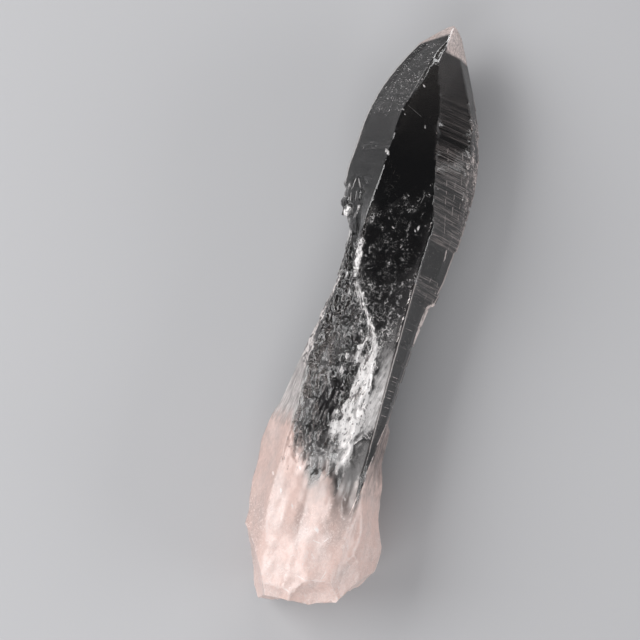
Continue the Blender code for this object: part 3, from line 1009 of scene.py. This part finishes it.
# Painted shade: the dark blocks and marks, each from 0 to 1
def paintedShadePlaces(quartz, down, beside, fibres):
    paintedShade = 0.0
    for start, end, left, right in paintedShadeBlocks:
        paintedShade = quartz.between(down, start, end, 0.05) * quartz.between(beside, left, right, 0.08) + paintedShade
    rough = 0.8 * (fibres - 0.5)
    for start, end, width, depth in paintedShadeMarks:
        paintedShade = paintedShade + quartz.mark(start, end, width, rough, 0.3) * depth
    return paintedShade


def ridgeTone(quartz, down, beside, grains, fibres):  # the bright ridges on both sides of the neck
    off = quartz.far(quartz.field("fromRidge") + 0.2 + 0.7 * (fibres - 0.5))
    leftLine = (1 - quartz.rise(off, 0.08, 0.24)) * quartz.between(down, 56, 90, 1.5)
    rightLine = 1 - quartz.rise(quartz.far(beside + 0.08), 0.05, 0.16)
    return (0.2 + grains) * leftLine | rightLine * quartz.between(down, 53, 86, 2) * 0.62


def paleTone(quartz, upper, grains, chipped):  # single marks, the painted rim light along the outline, and the worn edges
    ragged = quartz.grained("ragged")
    rough = 1.9 * (ragged - 0.45)
    tone = quartz.field("painted_rim_light") * (1 - quartz.rise(quartz.field("inside") + 0.3 * (ragged - 0.5), 0.3, 0.48))
    for start, end, width, pale in paleMarks:
        tone = tone | quartz.mark(start, end, width, rough) * upper * pale * (0.3 + 1.4 * grains)
    return tone | quartz.rise(quartz.field("worn") + 0.7 * (chipped - 0.5), 0.72, 0.9) * 0.6


def paintedGlintTone(quartz, down, upper, hairs, chipped):  # painted glints, with white chips, on the broken base
    worn = quartz.field("worn") * quartz.rise(down, 92, 104)
    tone = worn * (0.1 + 0.5 * quartz.rise(chipped, 0.4, 0.6))
    tone = tone | hairs * quartz.rise(down, 96, 106) * quartz.rise(chipped, 0.42, 0.6) * 0.5
    rough = 2.4 * (chipped - 0.42)
    for start, end, width, pale in paintedGlints:
        tone = tone | quartz.mark(start, end, width, rough) * upper * pale * 0.8
    return tone


def quartzFinish():
    look = quartzLook
    quartz = Finish("quartz")
    frosted = quartz.field("frost")
    flaky = quartz.field("flaky")
    wispy = quartz.field("wispy")
    beside = quartz.field("beside")
    down = tipY - 1 / mm * quartz.node("ShaderNodeSeparateXYZ", result="Y", Vector=quartz.where)
    up = 1 / mm * quartz.node("ShaderNodeSeparateXYZ", result="Z", Vector=quartz.where)
    upper = quartz.rise(up, *look["upper"])
    grains = quartz.grained("grains")
    fibres = quartz.grained("fibres")
    chipped = quartz.grained("chipped")
    hairs = hairLines(quartz)

    fibred = 1.1 * (fibres - 0.5) * (1 - quartz.rise(down, 82, 88))
    even = frosted * (0.89 + 0.22 * grains + fibred)
    unbroken = 1 - quartz.least(flaky + wispy, 1.0)
    tone = flaky * flakeTone(quartz, frosted) + wispy * wispTone(quartz, frosted, hairs) + unbroken * even
    # Growth lines, and the painted grey sheen of the faces
    tone = tone | lineAndSheenTone(quartz, quartz.field("lined_sheen"), beside)
    # Painted shade on the ledges, blocks and marks; it also takes milk away
    paintedShade = quartz.least(paintedShadePlaces(quartz, down, beside, fibres) * upper, 1.0)
    tone = tone * (1 - look["paintedShadeMost"] * paintedShade) | speckTone(quartz, quartz.field("dust"))
    tone = tone | ridgeTone(quartz, down, beside, grains, fibres) * upper
    tone = tone | paleTone(quartz, upper, grains, chipped)
    # Painted glints, with white chips, on the base; they stay white, not pink
    paintedGlint = paintedGlintTone(quartz, down, upper, hairs, chipped)
    milkiness = quartz.least(tone * tone + paintedGlint, 1.0)

    everywhere, onFrost, moreFrost, *moreFrom = look["bumps"]
    smooth = frosted * (1 - wispy)
    height = (flaky | smooth * (onFrost + moreFrost * quartz.rise(down, *moreFrom))) + everywhere
    growth = quartz.grained("lines") * quartz.field("lined_sheen")
    bumps = quartz.grained("bumps") * height + look["lineBumps"] * growth
    depth = look["bumpDepth"] * mm
    dents = quartz.node("ShaderNodeBump", Strength=look["bumpStrength"], Distance=depth, Height=bumps)
    # Clear glass, tinted to the painted shade colour where painted shade lies
    glassTintAndShade = quartz.mix(quartz.field("painted_shade") | paintedShade, look["clear"], look["paintedShade"])
    dulled = look["frostRoughness"] * smooth | look["dustRoughness"] * quartz.field("dust")
    clear = quartz.node(
        "ShaderNodeBsdfPrincipled", Base_Color=glassTintAndShade, Roughness=look["clearRoughness"] + dulled,
        IOR=look["index"], Transmission_Weight=1.0, Normal=dents,
    )
    evenPink, unevenPink = look["pinkness"]
    pinkness = quartz.field("blush") * (evenPink + unevenPink * quartz.grained("uneven")) * (1 - paintedGlint)
    milk = quartz.node(
        "ShaderNodeBsdfPrincipled", Base_Color=quartz.mix(pinkness, look["milk"], look["pink"]),
        Roughness=look["milkRoughness"], IOR=look["index"], Transmission_Weight=look["milkGlass"],
        Normal=dents,
    )
    both = quartz.node("ShaderNodeMixShader", i0=milkiness, i1=clear, i2=milk)
    smoke = quartz.node("ShaderNodeVolumeAbsorption", Color=look["smoke"], Density=look["smokiness"])
    quartz.output(Surface=both, Volume=smoke)
    return quartz.material


crystal.data.materials.append(quartzFinish())
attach(crystal, "root")
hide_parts("quartz_point")
print("quartz finish: done")

# Veils inside: healed cracks, each a bent sheet of small flecks

veils = {
    "seed": 7,
    "deepest": 1.0,  # mm, how far a fleck stays under the surface
    "fleck": (0.014, 0.04),
    "long": (1.5, 8.0),
    "thin": 0.5,
    "bend": 0.9,  # mm at the ends of a sheet
    "waves": 0.5,
    "crowdSize": (2.2, 1.6),
    "crowdFrom": -0.05,  # flecks lie where the noise is above this
    "crowdEdge": 0.2,
    "lean": 0.4,
    "spin": 3.1,
    # how brightly the flecks glow: painted light for the light that cannot reach them inside the glass
    "paintedGlow": 0.35,
    "roughness": 0.5,
    "toneSize": (0.8, 0.8, 0.8),
    "colour": (0.93, 0.91, 0.9, 1),
    "darker": (0.8, 0.77, 0.76, 1),
    # middle: down, across, up; half length and half width in mm; turn, tilt and roll in degrees; flecks
    "sheets": (
        ((38.0, -1.4, 17.5), (7.0, 2.4), (-54, 35, 0), 450),
        ((41.5, -1.5, 18.5), (4.6, 2.2), (25, 20, 30), 320),
        ((47.5, 1.5, 16.5), (4.4, 2.6), (-35, -25, 20), 380),
        ((52.5, -1.5, 14.5), (4.8, 2.4), (15, 30, -20), 400),
        ((57.5, 2.0, 15.0), (5.2, 2.2), (70, -15, 25), 420),
        ((63.0, 4.0, 14.0), (5.0, 1.8), (80, 25, 10), 500),
        ((69.5, 4.4, 15.0), (6.0, 1.6), (88, -20, 0), 400),
        ((15.5, -4.0, 13.5), (3.6, 1.6), (65, 20, 0), 300),
        ((90.0, 0.5, 14.0), (5.0, 3.4), (30, 25, 10), 600),
        ((98.0, -3.5, 13.0), (5.4, 3.8), (-25, -20, 15), 500),
        ((103.5, 3.0, 12.0), (5.0, 3.6), (50, 15, -20), 500),
        ((109.5, -2.0, 12.5), (4.6, 3.6), (10, -25, 10), 500),
    ),
}


def veilSheet(sheet, pick):
    middle, half, turns, flecks = sheet
    turn = Euler([math.radians(angle) for angle in (turns[1], turns[2], turns[0])]).to_matrix()
    centre = Vector((middle[1], tipY - middle[0], middle[2]))
    veil = bmesh.new()
    for fleck in range(flecks):
        along = pick.uniform(-1, 1)
        aside = pick.uniform(-1, 1)
        crowd = noise.noise(Vector((along * veils["crowdSize"][0], aside * veils["crowdSize"][1], middle[0])))
        bent = veils["bend"] * along * along + veils["waves"] * crowd
        place = centre + turn @ Vector((along * half[0], aside * half[1], bent))
        size = pick.uniform(*veils["fleck"])
        leans = (pick.gauss(0, veils["lean"]), pick.gauss(0, veils["lean"]), pick.uniform(0, veils["spin"]))
        shape = Matrix.Diagonal((size * pick.uniform(*veils["long"]), size, size * veils["thin"]))
        if crowd + pick.uniform(-veils["crowdEdge"], veils["crowdEdge"]) < veils["crowdFrom"]:
            continue
        nearest, outward, index, depth = skin.find_nearest(place * mm)
        if (place * mm - nearest).dot(outward) > 0 or depth < veils["deepest"] * mm:
            continue
        matrix = Matrix.Translation(place * mm) @ (turn @ Euler(leans).to_matrix() @ shape).to_4x4()
        bmesh.ops.create_icosphere(veil, subdivisions=1, radius=mm, matrix=matrix)
    return veil


def healedVeils():
    pick = random.Random(veils["seed"])
    mesh = bpy.data.meshes.new("healed_veils")
    whole = bmesh.new()
    for sheet in veils["sheets"]:
        veil = veilSheet(sheet, pick)
        veil.to_mesh(mesh)
        veil.free()
        whole.from_mesh(mesh)
    whole.to_mesh(mesh)
    whole.free()
    mesh.shade_smooth()
    piece = bpy.data.objects.new("healed_veils", mesh)
    bpy.context.scene.collection.objects.link(piece)
    return piece


def veilFinish():
    finish = Finish("veil")
    tint = finish.mix(finish.noise(veils["toneSize"]), veils["colour"], veils["darker"])
    # The flecks glow a little, painted light standing in for the light that cannot reach them inside the
    # glass
    flecks = finish.node(
        "ShaderNodeBsdfPrincipled", Base_Color=tint, Roughness=veils["roughness"],
        Emission_Color=veils["colour"], Emission_Strength=veils["paintedGlow"],
    )
    finish.output(Surface=flecks)
    return finish.material


healed = healedVeils()
healed.data.materials.append(veilFinish())
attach(healed, "root")
print("veils:", len(healed.data.polygons), "triangles")

# Floor, light and camera

studio = {
    "floorSize": 3.0,
    "floorGap": 0.0002,
    "floorColour": (0.4, 0.4, 0.41, 1),
    "floorRoughness": 0.7,
    "worldColour": (0.16, 0.16, 0.17, 1),
    # name, place in metres, width, height and power
    "boxes": (
        ("right_box", (0.55, 0.0, 0.16), 0.5, 0.3, 2.0),
        ("left_box", (-0.5, 0.0, 0.4), 0.5, 0.4, 4.2),
        ("far_box", (-0.05, 0.65, 0.2), 0.35, 0.25, 2.2),
        ("near_box", (-0.1, -0.55, 0.45), 0.6, 0.3, 2.8),
    ),
}


def paleFloor():
    plane = bmesh.new()
    bmesh.ops.create_grid(plane, x_segments=1, y_segments=1, size=studio["floorSize"] / 2)
    bmesh.ops.translate(plane, verts=plane.verts, vec=(0, 0, -studio["floorGap"]))
    mesh = bpy.data.meshes.new("floor")
    plane.to_mesh(mesh)
    plane.free()
    floor = bpy.data.objects.new("floor", mesh)
    bpy.context.scene.collection.objects.link(floor)
    paint = bpy.data.materials.new("pale_floor")
    paint.use_nodes = True
    shader = paint.node_tree.nodes["Principled BSDF"]
    shader.inputs["Base Color"].default_value = studio["floorColour"]
    shader.inputs["Roughness"].default_value = studio["floorRoughness"]
    mesh.materials.append(paint)


def softBox(name, place, width, height, power):
    lamp = bpy.data.lights.new(name, "AREA")
    lamp.shape = "RECTANGLE"
    lamp.size = width
    lamp.size_y = height
    lamp.energy = power
    box = bpy.data.objects.new(name, lamp)
    box.location = place
    box.rotation_euler = (-Vector(place)).to_track_quat("-Z", "Y").to_euler()
    bpy.context.scene.collection.objects.link(box)


paleFloor()
for box in studio["boxes"]:
    softBox(*box)
world = bpy.data.worlds.new("studio")
world.use_nodes = True
world.node_tree.nodes["Background"].inputs["Color"].default_value = studio["worldColour"]
bpy.context.scene.world = world

camera = {
    "lens": 100.0,
    "sensor": 36.0,
    "pixelsPerMm": 5.06,
    "picture": 640,
    "elevation": math.radians(84.5),
    "lean": math.radians(15.5),  # how far the crystal leans to the right in the picture
    "middle": (-9.45, -4.2, 11.0),  # mm
}


def lookDown():
    lens = bpy.data.cameras.new("camera")
    lens.lens = camera["lens"]
    lens.sensor_width = camera["sensor"]
    lens.clip_start = 0.01
    eye = bpy.data.objects.new("camera", lens)
    middle = Vector(camera["middle"]) * mm
    width = camera["picture"] / camera["pixelsPerMm"] * mm
    distance = width * camera["lens"] / camera["sensor"]
    back = Vector((0, -math.cos(camera["elevation"]), math.sin(camera["elevation"])))
    upward = Vector((-math.sin(camera["lean"]), math.cos(camera["lean"]), 0))
    right = upward.cross(back).normalized()
    turn = Matrix((right, back.cross(right), back)).transposed()
    eye.matrix_world = Matrix.Translation(middle + back * distance) @ turn.to_4x4()
    bpy.context.scene.collection.objects.link(eye)
    bpy.context.scene.camera = eye


lookDown()
scene = bpy.context.scene
scene.view_settings.view_transform = "Standard"
scene.cycles.caustics_reflective = False
scene.cycles.caustics_refractive = False
scene.cycles.max_bounces = 24
scene.cycles.transmission_bounces = 20
scene.cycles.glossy_bounces = 6
scene.cycles.use_denoising = True
print("studio: done")
